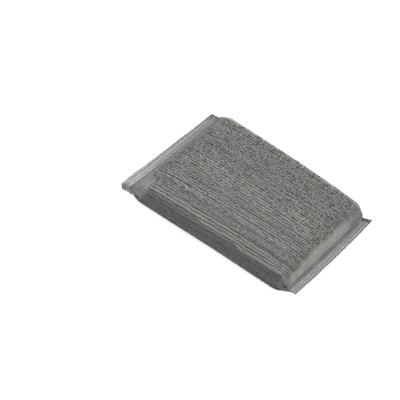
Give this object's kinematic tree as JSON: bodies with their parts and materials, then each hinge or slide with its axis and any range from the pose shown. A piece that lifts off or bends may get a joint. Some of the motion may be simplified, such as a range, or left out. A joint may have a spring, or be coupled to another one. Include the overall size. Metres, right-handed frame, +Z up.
{
  "type": "scouring pad",
  "caption": "Rectangular scouring pad: a foam block in a ribbed sleeve of knitted metallised yarn, with a flat knurled weld at each end.",
  "frame": {"origin": "on the bench, under the middle of the pad's box", "axes": "+X along the pad's length, towards its narrower welded end; +Y across the pad, away from its straight long side; +Z up from the face it lies on"},
  "size_m": [0.13, 0.0926, 0.0138],
  "materials": {
    "foam": "open-cell ivory foam, matt",
    "metallised_knit": "grey metallised yarn, knitted in ribs along the pad, soft metallic sheen"
  },
  "bodies": {
    "root": {"foam_core": "foam", "knit_sleeve": "metallised_knit"}
  },
  "joints": []
}
